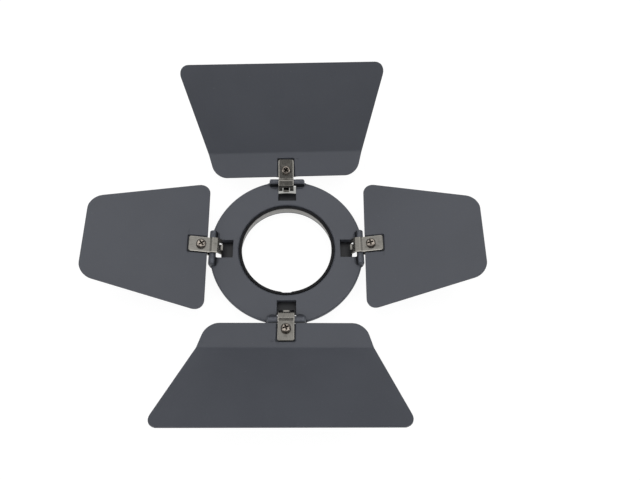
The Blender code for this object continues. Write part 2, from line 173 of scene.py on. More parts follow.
class ClipSizes(PropertyGroup):
    """Sizes of the clips, screws and nuts."""

    sheet: length("Clip sheet", "Thickness of the clip's strip", 0.8)
    width: length("Clip width", "Width of the clip's strip", 8.6)
    end: length("Clip end", "Distance from the bar to the clip's end", 13.0)
    corner: length("Clip corner", "Radius of the clip's end corners", 1.2)
    bend: length("Clip bend", "Radius of the clip's bends", 0.9)
    gap: length("Gap", "Gap between the stacked pieces", 0.3)
    hook_gap: length("Hook gap", "Gap between the front hook and the bar", 0.7)
    rise: length("Rise start", "Where the front clip starts to rise", 1.9)
    rise_end: length("Rise end", "Where the front clip's rise ends", 0.5)
    hook_end: length("Hook end", "Reach of the hook's top past the bar", 2.3)
    tail: length("Tail end", "Reach of the tail past the bar", 4.8)
    tail_high: length("Tail height", "Height of the tail's end over the bar's axis", 0.7)
    notch: length("Notch width", "Width of the front clip's notch", 4.2)
    notch_from: length("Notch start", "Distance of the notch past the bar", 3.3)
    jog: length("Jog start", "Where the rear clip starts to drop", 3.2)
    jog_end: length("Jog end", "Where the rear clip's drop ends", 2.3)
    under_end: length("Under end", "Reach of the level part under the bar", 1.9)
    tab: length("Tab width", "Width of the rear clip's tab", 3.4)
    tab_from: length("Tab start", "Distance of the tab's start past the bar", 1.6)
    tab_bend: length("Tab bend", "Distance of the tab's bend past the bar", 4.1)
    tab_end: length("Tab end", "Reach of the tab past the bar", 5.5)
    tab_high: length("Tab height", "Height of the tab's end over the bar's axis", 0.3)
    screw_at: length("Screw place", "Distance from the bar to the screw", 6.5)
    screw: length("Screw radius", "Radius of the screw's thread", 1.5)
    head: length("Head radius", "Radius of the screw's head", 2.6)
    head_high: length("Head height", "Height of the screw's head", 1.7)
    drive: length("Drive width", "Width of the cross recess", 0.85)
    drive_span: length("Drive span", "Length of the cross recess", 3.3)
    drive_deep: length("Drive depth", "Depth of the cross recess", 1.1)
    nut_flats: length("Nut", "Distance across the nut's flats", 5.5)
    nut_high: length("Nut height", "Height of the nut", 1.8)
    tip: length("Screw tip", "Length of screw below the nut", 0.5)
    play: length("Play", "Shift of a clip along its bar", 0.5)


class Finishes(PropertyGroup):
    """Colours and roughness of the finishes."""

    paint: colour("Paint", "Colour of the powder coat", (0.068, 0.073, 0.087))
    paint_rough: share("Paint roughness", "Roughness of the powder coat", 0.46)
    rubber: colour("Rubber", "Colour of the seal", (0.006, 0.006, 0.007))
    nickel: colour("Nickel", "Colour of the clips' plating", (0.155, 0.149, 0.136))
    zinc: colour("Zinc", "Colour of the screws' plating", (0.26, 0.23, 0.20))
    floor: colour("Floor", "Colour of the floor", (0.12, 0.12, 0.12))


class StageSizes(PropertyGroup):
    """Camera, lights and floor."""

    azimuth: degrees("Azimuth", "Direction of the camera round the ring", 4.3)
    elevation: degrees("Elevation", "Angle of the camera above the floor", 69.55)
    roll: degrees("Roll", "Turn of the camera about its line of sight", 3.76)
    distance: length("Distance", "Distance from the camera to its target", 262.34)
    target: FloatVectorProperty(
        name="Target", description="Where the camera looks", size=3,
        default=(0.01434, -0.00206, 0.0), subtype="TRANSLATION", unit="LENGTH",
    )
    lens: share("Lens", "Focal length in millimetres", 25.8, 200.0)
    shift_x: share("Shift X", "Sideways shift of the lens", 0.01203)
    shift_y: share("Shift Y", "Upward shift of the lens", 0.02734)
    overhead: share("Overhead", "Radiance of the soft light overhead", 2.2, 10.0)
    low: share("Low", "Radiance of the dim band over the backdrop", 0.04, 10.0)
    backdrop: share("Backdrop", "Radiance of the backdrop at the horizon", 0.25, 10.0)
    side_lights: share("Side lights", "Radiance of the two small side lights", 3.0, 50.0)
    rear_light: share("Rear light", "Radiance of the soft light beyond the top leaf", 0.85, 50.0)
    flag: share("Flag", "Share of the light overhead that the flag stops", 0.92)
    floor_glow: share("Floor glow", "Light that the lit table gives off", 0.93, 10.0)


def settings():
    """The scene's property groups."""
    return bpy.context.scene.barn_door


class BarnDoorSettings(PropertyGroup):
    """Everything that a user would change."""

    ring: PointerProperty(type=RingSizes)
    leaf: PointerProperty(type=LeafSizes)
    clip: PointerProperty(type=ClipSizes)
    finish: PointerProperty(type=Finishes)
    stage: PointerProperty(type=StageSizes)


# ---- surfaces


def arc(centre, radius, start, end, steps):
    """Points of an arc: centre plus radius times (cos, sin) of evenly spaced angles."""
    angle = np.radians(np.linspace(start, end, steps + 1))
    return np.stack([centre[0] + radius * np.cos(angle), centre[1] + radius * np.sin(angle)], 1)


def box(left, right, low, high):
    """Corners of a rectangle."""
    return np.array([(left, low), (right, low), (right, high), (left, high)])


def grid_faces(rows, columns, close_rows=False, close_columns=False):
    """Quads joining neighbours on a grid whose rows and columns may close on themselves."""
    i = np.arange(rows if close_rows else rows - 1)
    j = np.arange(columns if close_columns else columns - 1)
    i, j = np.meshgrid(i, j, indexing="ij")
    i, j = i.ravel(), j.ravel()
    i_next, j_next = (i + 1) % rows, (j + 1) % columns
    corners = [i * columns + j, i_next * columns + j, i_next * columns + j_next, i * columns + j_next]
    return np.stack(corners, 1)


def new_object(name, points, faces):
    """An object at the origin from an array of points and a list of faces."""
    mesh = bpy.data.meshes.new(name)
    mesh.from_pydata(points.reshape(-1, 3).tolist(), [], faces)
    piece = bpy.data.objects.new(name, mesh)
    bpy.context.scene.collection.objects.link(piece)
    return piece


def make_piece(name, points, faces, uv=None):
    """An object from arrays of points and faces, with a UV map where one is given."""
    piece = new_object(name, points, faces.tolist())
    mesh = piece.data
    if uv is not None:
        layer = mesh.uv_layers.new(name="along")
        corner = np.empty(len(mesh.loops), np.int32)
        mesh.loops.foreach_get("vertex_index", corner)
        layer.data.foreach_set("uv", np.float32(uv).reshape(-1, 2)[corner].ravel())
    mesh.validate()
    return piece


def turned(name, profile, steps):
    """A closed outline of (r, z) turned round Z: (r cos a, r sin a, z) for each angle a."""
    angle = 2 * np.pi * np.arange(steps) / steps
    r, z = profile[:, 0], profile[:, 1]
    points = np.empty((steps, len(profile), 3))
    points[..., 0] = np.outer(np.cos(angle), r)
    points[..., 1] = np.outer(np.sin(angle), r)
    points[..., 2] = z
    return make_piece(name, points, grid_faces(steps, len(profile), True, True)[:, ::-1])


def pushed(name, outline, low, high, upright="w"):
    """A flat outline pushed from low to high along w, or along v if it is an (u, w) outline."""
    count = len(outline)
    points = np.empty((2, count, 3))
    first, second, along = (0, 1, 2) if upright == "w" else (0, 2, 1)
    points[..., first] = outline[:, 0]
    points[..., second] = outline[:, 1]
    points[0, :, along] = low
    points[1, :, along] = high
    return capped(name, points)


def capped(name, points):
    """A closed solid through rows of points: sides between the rows, and a cap at each end."""
    rows, count = points.shape[:2]
    sides = grid_faces(rows, count, False, True).tolist()
    caps = [list(range(count))[::-1], list(range((rows - 1) * count, rows * count))]
    piece = new_object(name, points, sides + caps)
    outwards(piece)
    return piece


def outwards(piece):
    """Point every face of a closed piece outwards."""
    work = bmesh.new()
    work.from_mesh(piece.data)
    bmesh.ops.remove_doubles(work, verts=work.verts, dist=1e-7)
    bmesh.ops.recalc_face_normals(work, faces=work.faces)
    work.to_mesh(piece.data)
    work.free()


def rounded(points, radius, steps):
    """A polyline whose inner corners are replaced by arcs of one radius."""
    out = [points[0]]
    for before, here, after in zip(points[:-2], points[1:-1], points[2:]):
        before, here, after = np.array(before), np.array(here), np.array(after)
        back = (before - here) / np.linalg.norm(before - here)
        ahead = (after - here) / np.linalg.norm(after - here)
        half = math.acos(np.clip(back @ ahead, -1, 1)) / 2
        middle = (back + ahead) / np.linalg.norm(back + ahead)
        centre = here + middle * radius / math.sin(half)
        first = here + back * radius / math.tan(half) - centre
        last = here + ahead * radius / math.tan(half) - centre
        start = math.atan2(first[1], first[0])
        sweep = math.atan2(first[0] * last[1] - first[1] * last[0], first @ last)
        angles = start + sweep * np.linspace(0, 1, steps + 1)
        out += [centre + radius * np.array([math.cos(a), math.sin(a)]) for a in angles]
    out.append(points[-1])
    return np.array(out, float)


def finish_mesh(piece):
    """Replace the mesh by what its modifiers make of it, and drop them."""
    bpy.context.view_layer.update()
    depsgraph = bpy.context.evaluated_depsgraph_get()
    mesh = bpy.data.meshes.new_from_object(piece.evaluated_get(depsgraph))
    piece.modifiers.clear()
    old = piece.data
    piece.data = mesh
    bpy.data.meshes.remove(old)
    mesh.name = piece.name


def modify(piece, kind, **options):
    """Add a modifier, set its options, and replace the mesh by what it makes."""
    change = piece.modifiers.new(kind.lower(), kind)
    for name, value in options.items():
        setattr(change, name, value)
    finish_mesh(piece)


def boolean(piece, other, operation):
    """Join or cut a closed piece with another, which is then removed."""
    modify(piece, "BOOLEAN", operation=operation, solver="EXACT", object=other)
    bpy.data.objects.remove(other, do_unlink=True)


def solidify(piece, thickness):
    """Give a sheet its thickness, half to each side."""
    modify(piece, "SOLIDIFY", thickness=thickness, offset=0.0, use_even_offset=True,
           use_quality_normals=True)


def round_edges(piece, width, segments=2, limit=40.0):
    """Round every edge sharper than the limit."""
    modify(piece, "BEVEL", width=width, segments=segments, limit_method="ANGLE",
           angle_limit=math.radians(limit), use_clamp_overlap=False, miter_outer="MITER_ARC")


def shade(piece, limit=32.0):
    """Smooth shading whose normals favour the larger faces."""
    piece.data.shade_smooth()
    piece.data.set_sharp_from_angle(angle=math.radians(limit))
    modify(piece, "WEIGHTED_NORMAL", keep_sharp=True, weight=60)


def smoothstep(x):
    """0 below 0, 1 above 1, and 3x^2 - 2x^3 between."""
    x = np.clip(x, 0, 1)
    return x * x * (3 - 2 * x)


# ---- hinge frames


def joint_of(side):
    """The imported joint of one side."""
    return next(j for j in frame["joints"] if j["name"] == side + "_leaf_hinge")


def hinge_frame(side):
    """u out along the leaf, v along the bar and w forwards, with the clip's play along v."""
    joint = joint_of(side)
    sizes = settings()
    angle = sizes.leaf.rest[SIDES.index(side)]
    play = CLIP_SHIFT[side] * sizes.clip.play
    v = -Vector(joint["axis"])
    outward = Vector((joint["pos_m"][0], joint["pos_m"][1], 0)).normalized()
    up = Vector((0, 0, 1))
    u = outward * math.cos(angle) + up * math.sin(angle)
    w = up * math.cos(angle) - outward * math.sin(angle)
    turn = Matrix((u, v, w)).transposed().to_4x4()
    return Matrix.Translation(Vector(joint["pos_m"]) + v * play) @ turn


def settle(piece, side, node, finish):
    """Move a finished leaf piece's mesh to its hinge, and hand it to the frame."""
    piece.data.transform(hinge_frame(side))
    hand_over(piece, side + "_leaf_assembly", side + node, finish)


def hand_over(piece, body, node, finish):
    """Give a piece its material, hang it under its body's empty, and hide the CAD node that it stands
    for.
    """
    make, slot = FINISHES[finish]
    piece.data.materials.clear()
    piece.data.materials.append(bpy.data.materials.get(finish) or make(finish))
    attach(piece, body)
    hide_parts(node)


def stack():
    """Heights above the bar's axis of the stacked pieces."""
    leaf, clip = settings().leaf, settings().clip
    dish = leaf.front - leaf.dish_depth
    arm = dish + clip.gap + clip.sheet / 2
    hook = settings().ring.bar + clip.hook_gap + clip.sheet / 2
    rear = dish - leaf.sheet - clip.gap - clip.sheet / 2
    under = -(settings().ring.bar + clip.gap + clip.sheet / 2)
    head = arm + clip.sheet / 2 + clip.gap
    nut = rear - clip.sheet / 2 - clip.gap
    return {"arm": arm, "hook": hook, "rear": rear, "under": under, "head": head, "nut": nut}


# ---- ring


def ring_profile():
    """Half section of the casting: bore, ledge, lip, face, rim, hub and spigot."""
    s = settings().ring
    soft = 0.4 * MM
    parts = [
        [(s.bore, soft), (s.bore, s.ledge), (s.lip, s.ledge)],
        arc((s.lip + s.lip_round, s.front - s.lip_round), s.lip_round, 180, 90, 7),
        arc((s.rim - s.rim_round, s.front - s.rim_round), s.rim_round, 90, 0, 7),
        arc((s.rim - 0.7 * MM, s.back + 0.7 * MM), 0.7 * MM, 0, -90, 5),
        arc((s.hub + 0.3 * MM, s.back - 0.3 * MM), 0.3 * MM, 90, 180, 3),
        arc((s.hub - soft, s.hub_back + soft), soft, 0, -90, 4),
        [(s.spigot, s.hub_back)],
        arc((s.spigot - soft, soft), soft, 0, -90, 4),
        arc((s.bore + soft, soft), soft, -90, -180, 4),
    ]
    profile = np.concatenate([np.array(p, float) for p in parts])
    keep = np.linalg.norm(profile - np.roll(profile, 1, 0), axis=1) > 1e-6
    return profile[keep]


def boolean_at(ring, block, turn, operation):
    """Turn a block about the ring's axis, then join it to the ring or cut the ring with it."""
    block.data.transform(Matrix.Rotation(math.radians(turn), 4, "Z"))
    boolean(ring, block, operation)


def soften_casting(piece):
    """Round the casting's front edges by weight, on its lugs and slots."""
    work = bmesh.new()
    work.from_mesh(piece.data)
    bmesh.ops.remove_doubles(work, verts=work.verts, dist=2e-6)
    bmesh.ops.dissolve_limit(
        work, angle_limit=math.radians(0.4), verts=work.verts, edges=work.edges,
    )
    layer = work.edges.layers.float.new("bevel_weight_edge")
    sizes = settings().ring
    for edge in work.edges:
        if len(edge.link_faces) != 2:
            continue
        low = min(v.co.z for v in edge.verts)
        far = min(math.hypot(v.co.x, v.co.y) for v in edge.verts)
        sharp = edge.calc_face_angle(0.0) > math.radians(42)
        if sharp and low > sizes.back + 0.75 * MM and far > sizes.lip + 1.5 * MM:
            edge[layer] = 1.0
    work.to_mesh(piece.data)
    work.free()
    modify(piece, "BEVEL", width=0.25 * MM, segments=2, limit_method="WEIGHT",
           use_clamp_overlap=False)
    clear_slots(piece)


def clear_slots(piece):
    """Put back on the slots' walls any vertex that the rounding carried into a slot."""
    s = settings().ring
    half, slack = s.slot_width / 2, 0.3 * MM
    points = np.empty(3 * len(piece.data.vertices))
    piece.data.vertices.foreach_get("co", points)
    x, y, z = points.reshape(-1, 3).T.copy()
    for turn in QUARTERS:
        c, n = math.cos(math.radians(turn)), math.sin(math.radians(turn))
        u, v = x * c + y * n, y * c - x * n
        stray = (u > s.slot_inner + slack) & (np.abs(v) < half - slack) & (z > s.slot_floor + slack)
        v = np.where(stray, np.sign(v) * half, v)
        x, y = u * c - v * n, u * n + v * c
    piece.data.vertices.foreach_set("co", np.stack([x, y, z], 1).ravel())
    piece.data.update()


def lug_block(outline, root, hand):
    """A lug: its (u, w) outline carried along v and shrunk towards its root over the end.

    At a distance t into the rounded end the outline's scale about the root is
    1 - k (1 - sqrt(1 - t^2)), with t running from 0 to 1 and k the shrink at the tip.
    """
    s = settings().ring
    shrink = 0.42
    start, end = 0.4 * s.slot_width, s.bar_length / 2
    into = np.concatenate([[0.0], np.sin(np.radians(np.linspace(0, 90, 9)))])
    v = np.concatenate([[start], end - s.lug_end * (1 - into[1:])])
    scale = 1 - shrink * (1 - np.sqrt(1 - into**2))
    root = np.array(root)
    points = np.empty((len(v), len(outline), 3))
    points[..., [0, 2]] = root + scale[:, None, None] * (outline - root)
    points[..., 1] = hand * v[:, None]
    return capped("lug", points)


def make_casting():
    """Ring, spigot, slots, lugs and bars as one painted casting."""
    s = settings().ring
    ring = turned("ring_casting", ring_profile(), 180)
    axis = joint_of("right")["pos_m"]
    centre = (axis[0], axis[2])
    foot = s.front - 2.2 * MM
    inside = centre[0] - s.lug
    lug = np.concatenate([
        [(inside - 0.9 * s.fillet, foot), (centre[0] + s.lug, foot)],
        arc(centre, s.lug, 0, 180, 20),
        arc((inside - s.fillet, s.front + s.fillet), s.fillet, 0, -84, 8),
    ])
    bar = arc(centre, s.bar, 0, 360, 48)[:-1]
    slot = box(s.slot_inner, s.rim + 4 * MM, s.slot_floor, s.front + 8 * MM)
    half = s.slot_width / 2
    for turn in QUARTERS:
        for hand in (-1, 1):
            boolean_at(ring, lug_block(lug, (centre[0], foot), hand), turn, "UNION")
        boolean_at(ring, pushed("slot", slot, -half, half, "v"), turn, "DIFFERENCE")
    soften_casting(ring)
    reach = s.bar_length / 2 - 1.2 * MM
    for turn in QUARTERS:
        boolean_at(ring, pushed("bar", bar, -reach, reach, "v"), turn, "UNION")
    shade(ring, 30.0)
    hand_over(ring, "ring", "front_ring", "paint_cast")


def make_seal():
    """The rubber lip: a flange and a skirt turned round Z, with a flat cut at the bottom."""
    s = settings().ring
    soft = 0.25 * MM
    low, high = s.seal_low, s.seal_high
    under = high - s.seal_flange
    profile = np.concatenate([
        [(s.seal_skirt, low)],
        arc((s.seal_outer - 0.15 * MM, low + 0.15 * MM), 0.15 * MM, -90, 0, 3),
        arc((s.seal_outer - soft, high - soft), soft, 0, 90, 4),
        arc((s.seal_inner + soft, high - soft), soft, 90, 180, 5),
        arc((s.seal_inner + soft, under + soft), soft, 180, 270, 5),
        [(s.seal_skirt, under)],
    ])
    seal = turned("rubber_seal", profile, 180)
    outwards(seal)
    half = s.seal_flat_width / 2
    wide = half + 3 * MM
    top = -0.96 * s.seal_inner
    cut = np.array([(-half, -s.seal_flat), (half, -s.seal_flat), (wide, top), (-wide, top)])
    boolean(seal, pushed("flat", cut, low - MM, high + MM), "DIFFERENCE")
    shade(seal, 40.0)
    hand_over(seal, "ring", "aperture_seal", "rubber")


# ---- leaves


def leaf_lines(near, far, corner, marks):
    """Distances along a leaf: close at its rounded ends and at the marked places."""
    turn = np.radians(np.linspace(0, 90, 9))
    start = near + corner * (1 - np.cos(turn))
    end = far - corner * (1 - np.cos(turn))
    fine = np.concatenate([np.linspace(a, b, n) for a, b, n in marks])
    coarse = np.arange(near + corner, far - corner, 2.5 * MM)
    coarse = coarse[np.abs(coarse[:, None] - fine[None]).min(1) > 0.9 * MM]
    lines = np.unique(np.round(np.concatenate([start, end, fine, coarse]), 7))
    keep = np.concatenate([[True], np.diff(lines) > 0.04 * MM])
    return lines[keep]


def half_width(u, near, far, inner, outer, corner):
    """Half width of a leaf: a straight taper less a quarter circle at each end."""
    straight = inner + (outer - inner) * (u - near) / (far - near)
    cut = np.zeros_like(u)
    for ends in (u - near, far - u):
        into = np.clip(corner - ends, 0, corner)
        cut = cut + corner - np.sqrt(np.maximum(corner**2 - into**2, 0))
    return straight - cut


def dish_edges():
    """Distance of the recess's end from the bar, and the recess's half width."""
    gap = settings().leaf.dish_gap
    return settings().clip.end + gap, settings().clip.width / 2 + gap


def dish_depth(u, v):
    """Depth of the clip's recess: a smooth step of the distance to a rounded rectangle."""
    s = settings().leaf
    end, half = dish_edges()
    along = u - (end - s.dish_corner)
    across = np.abs(v) - (half - s.dish_corner)
    outside = np.hypot(np.maximum(along, 0), np.maximum(across, 0))
    distance = outside + np.minimum(np.maximum(along, across), 0) - s.dish_corner
    return s.dish_depth * smoothstep(1 - distance / s.dish_slope)


def folded(u, w):
    """Fold points beyond the crease forwards along an arc, keeping their distance w from it."""
    s = settings().leaf
    middle = s.front - s.sheet / 2
    arc_length = s.crease_round * s.crease_bend
    start = s.crease - arc_length / 2
    past = np.maximum(u - start, 0)
    turn = np.minimum(past / s.crease_round, s.crease_bend)
    beyond = np.maximum(past - arc_length, 0)
    reach = s.crease_round - (w - middle)
    new_u = start + reach * np.sin(turn) + beyond * np.cos(turn)
    new_w = middle + s.crease_round - reach * np.cos(turn) + beyond * np.sin(turn)
    return np.where(past > 0, new_u, u), np.where(past > 0, new_w, w)


def make_leaf(side):
    """One leaf: a grid of (u, v) with the recess pressed in, the crease folded, then made thick."""
    s = settings().leaf
    big = side in BIG_LEAVES
    inner, outer = (s.big_inner, s.big_outer) if big else (s.small_inner, s.small_outer)
    near, far = s.inner, s.inner + s.reach
    wall = s.dish_slope
    dish_end, dish_half = dish_edges()
    marks = [(dish_end - 1.2 * MM, dish_end, 9), (dish_end, dish_end + wall, 9)]
    if big:
        fold = s.crease_round * s.crease_bend
        marks.append((s.crease - fold / 2, s.crease + fold / 2, 7))
    u = leaf_lines(near, far, s.corner, marks)
    zone = 7.5 * MM
    fine = np.concatenate([
        np.linspace(0, dish_half - 1.2 * MM, 5)[:-1],
        np.linspace(dish_half - 1.2 * MM, dish_half, 7)[:-1],
        np.linspace(dish_half, dish_half + wall, 9),
        [zone],
    ])
    outside = np.linspace(0, 1, 13)[1:]
    hw = half_width(u, near, far, inner, outer, s.corner)
    right_fine = np.broadcast_to(fine, (len(u), len(fine)))
    right_out = zone + np.outer(hw - zone, outside)
    right = np.concatenate([right_fine, right_out], 1)
    v = np.concatenate([-right[:, :0:-1], right], 1)
    uu = np.broadcast_to(u[:, None], v.shape)
    w = s.front - s.sheet / 2 - dish_depth(uu, v)
    x, z = folded(uu, w) if big else (uu, w)
    points = np.stack([x, v, z], -1)
    leaf = make_piece(side + "_leaf_sheet", points, grid_faces(*v.shape), np.stack([uu, v], -1))
    solidify(leaf, s.sheet)
    outwards(leaf)
    clip = settings().clip
    hole = arc((clip.screw_at, 0), clip.screw + clip.gap, 0, 360, 40)[:-1]
    boolean(leaf, pushed("hole", hole, -3 * MM, 5 * MM), "DIFFERENCE")
    round_edges(leaf, s.edge, 3, 55.0)
    shade(leaf, 40.0)
    pivot = Matrix.Translation((clip.screw_at, 0, 0))
    turn = Matrix.Rotation(s.skew[SIDES.index(side)], 4, "Z")
    leaf.data.transform(pivot @ turn @ pivot.inverted())
    settle(leaf, side, "_leaf", "paint_sheet")


# ---- clips


def strip(name, line, width, corner, step=0.55 * MM):
    """A strip carried along a line of (u, w), narrowed by a quarter circle at its first end."""
    gaps = np.linalg.norm(np.diff(line, axis=0), axis=1)
    run = np.concatenate([[0], np.cumsum(gaps)])
    turn = np.radians(np.linspace(0, 90, 6))
    stops = np.concatenate([corner * (1 - np.cos(turn)), np.arange(corner, run[-1], step), run])
    stops = np.unique(np.round(stops, 6))
    stops = stops[np.concatenate([[True], np.diff(stops) > 0.03 * MM])]
    u = np.interp(stops, run, line[:, 0])
    w = np.interp(stops, run, line[:, 1])
    into = np.clip(corner - stops, 0, corner)
    half = width / 2 - (corner - np.sqrt(np.maximum(corner**2 - into**2, 0)))
    across = np.linspace(-1, 1, 13)
    v = np.outer(half, across)
    points = np.stack([np.broadcast_to(u[:, None], v.shape), v,
                       np.broadcast_to(w[:, None], v.shape)], -1)
    uv = np.stack([np.broadcast_to(stops[:, None], v.shape), v], -1)
    return make_piece(name, points, grid_faces(*v.shape), uv)


def finish_clip(clip, cutters):
    """Thicken a clip's strip, cut its notches and hole, round its edges."""
    s = settings().clip
    solidify(clip, s.sheet)
    outwards(clip)
    hole = arc((s.screw_at, 0), s.screw + s.gap, 0, 360, 40)[:-1]
    boolean(clip, pushed("hole", hole, -6 * MM, 6 * MM), "DIFFERENCE")
    for cutter in cutters:
        boolean(clip, cutter, "DIFFERENCE")
    round_edges(clip, 0.14 * MM, 2, 50.0)
    shade(clip, 40.0)


def make_front_clip(side):
    """Front clip: arm, raised hook over the bar, and a tail with a notch."""
    s = settings().clip
    at = stack()
    line = rounded(
        [(s.end, at["arm"]), (s.rise, at["arm"]), (s.rise_end, at["hook"]),
         (-s.hook_end, at["hook"]), (-s.tail, s.tail_high)], s.bend, 6)
    clip = strip(side + "_front_clip_strip", line, s.width, s.corner)
    far, low, high = -6 * MM, -0.6 * MM, at["hook"] + MM
    notch = box(far, -s.notch_from, low, high)
    finish_clip(clip, [pushed("notch", notch, -s.notch / 2, s.notch / 2, "v")])
    settle(clip, side, "_front_clip", "nickel")


def make_rear_clip(side):
    """Rear clip: arm behind the leaf, hook under the bar, and a tab through the notch."""
    s = settings().clip
    at = stack()
    line = rounded(
        [(s.end, at["rear"]), (s.jog, at["rear"]), (s.jog_end, at["under"]),
         (-s.under_end, at["under"]), (-s.tab_bend, 0.0), (-s.tab_end, s.tab_high)], s.bend, 6)
    clip = strip(side + "_rear_clip_strip", line, s.width, s.corner)
    far, low, high = -9 * MM, -6 * MM, 2 * MM
    beside = box(far, -s.tab_from, low, high)
    tab = s.tab / 2
    cutters = [pushed("beside", beside, a, b, "v") for a, b in ((tab, s.width), (-s.width, -tab))]
    finish_clip(clip, cutters)
    settle(clip, side, "_rear_clip", "nickel")


# ---- fasteners


def mark_recess(screw, top, reach):
    """Face attribute of painted shade: 1 on faces whose middle is under the head's top and inside the
    recess.
    """
    mesh = screw.data
    middle = np.empty(3 * len(mesh.polygons))
    mesh.polygons.foreach_get("center", middle)
    x, y, z = middle.reshape(-1, 3).T
    s = settings().clip
    slack = 0.01 * MM
    inside = np.maximum(np.abs(x), np.abs(y)) < reach + slack
    inside &= np.minimum(np.abs(x), np.abs(y)) < s.drive / 2 + slack
    inside &= np.abs(z - top + s.drive_deep / 2) < 0.52 * s.drive_deep
    inside &= z < top - 0.05 * MM
    layer = mesh.attributes.new("deep", "FLOAT", "FACE")
    layer.data.foreach_set("value", inside.astype(np.float32))


def make_screw(side):
    """Pan head screw: a turned outline, with a threaded shank and a cross recess."""
    s = settings().clip
    at = stack()
    base, top = at["head"], at["head"] + s.head_high
    tip = at["nut"] - s.nut_high - s.tip
    pitch = 0.5 * MM
    crown = arc((s.head - 1.0 * MM, top - 1.0 * MM), 1.0 * MM, 8, 90, 8)
    starts = np.arange(tip + 0.3 * MM, base - 0.5 * MM, pitch)
    rib = np.array([(-0.22, 0.0), (0.0, 0.2), (0.0, 0.28)]) * MM + (s.screw, 0)
    ribs = (rib + np.stack([0 * starts, starts], 1)[:, None]).reshape(-1, 2)
    outline = np.concatenate([
        [(0.02 * MM, tip), (s.screw - 0.4 * MM, tip)], ribs,
        [(s.screw - 0.1 * MM, base), (s.head - 0.12 * MM, base), (s.head, base + 0.12 * MM),
         (s.head, base + 0.7 * MM)], crown, [(0.02 * MM, top)],
    ])
    screw = turned(side + "_screw_turned", outline, 48)
    core = arc((0, 0), 0.6 * MM, 0, 360, 12)[:-1]
    outwards(screw)
    boolean(screw, pushed("core", core, tip + 0.05 * MM, top - 0.05 * MM), "UNION")
    wide, long = s.drive / 2, s.drive_span / 2
    quarter = np.array([(wide, wide), (wide, long), (-wide, long)])
    quarters = [quarter]
    for _turn in QUARTERS[1:]:
        quarters.append(quarters[-1] @ np.array([(0, 1), (-1, 0)]))
    cross = np.concatenate(quarters)
    boolean(screw, pushed("drive", cross, top - s.drive_deep, top + MM), "DIFFERENCE")
    mark_recess(screw, top, long)
    shade(screw, 34.0)
    turn = Matrix.Rotation(SCREW_TURN[side], 4, "Z")
    screw.data.transform(Matrix.Translation((s.screw_at, 0, 0)) @ turn)
    settle(screw, side, "_clamp_screw", "zinc")


def make_nut(side):
    """Thin hexagon nut: a hexagon with turned-off corners and a plain bore."""
    s = settings().clip
    high = stack()["nut"]
    low = high - s.nut_high
    across = s.nut_flats / math.sqrt(3)
    hexagon = arc((0, 0), across, 30, 390, 6)[:-1]
    nut = pushed(side + "_nut_hex", hexagon, low, high)
    soft = 0.35 * MM
    outer = across + 0.1 * MM
    cone = np.array([
        (0.001 * MM, low), (s.nut_flats / 2, low), (outer, low + soft), (outer, high - soft),
        (s.nut_flats / 2, high), (0.001 * MM, high)])
    turned_off = turned("cone", cone, 48)
    outwards(turned_off)
    boolean(nut, turned_off, "INTERSECT")
    bore = arc((0, 0), s.screw + 0.1 * MM, 0, 360, 32)[:-1]
    boolean(nut, pushed("bore", bore, low - MM, high + MM), "DIFFERENCE")
    round_edges(nut, 0.08 * MM, 2, 35.0)
    shade(nut, 30.0)
    nut.data.transform(Matrix.Translation((s.screw_at, 0, 0)))
    settle(nut, side, "_clamp_nut", "zinc")


# ---- materials


class Value:
    """A shader socket that Python's operators add Math nodes to."""

    def __init__(self, shader, socket):
        """Keep the socket and the shader that it belongs to."""
        self.shader = shader
        self.socket = socket

    def math(self, operation, *others, swap=False):
        """One Math node on this value and others."""
        values = (*others, self) if swap else (self, *others)
        return self.shader.node("ShaderNodeMath", {"operation": operation}, dict(enumerate(values)))

    def __add__(self, other):
        return self.math("ADD", other)

    def __sub__(self, other):
        return self.math("SUBTRACT", other)

    def __rsub__(self, other):
        return self.math("SUBTRACT", other, swap=True)

    def __mul__(self, other):
        return self.math("MULTIPLY", other)

    __radd__ = __add__
    __rmul__ = __mul__

    def step(self, low, high):
        """0 at low, 1 at high, smooth between."""
        inputs = {"Value": self, "From Min": low, "From Max": high}
        return self.shader.node("ShaderNodeMapRange", {"interpolation_type": "SMOOTHSTEP"}, inputs)


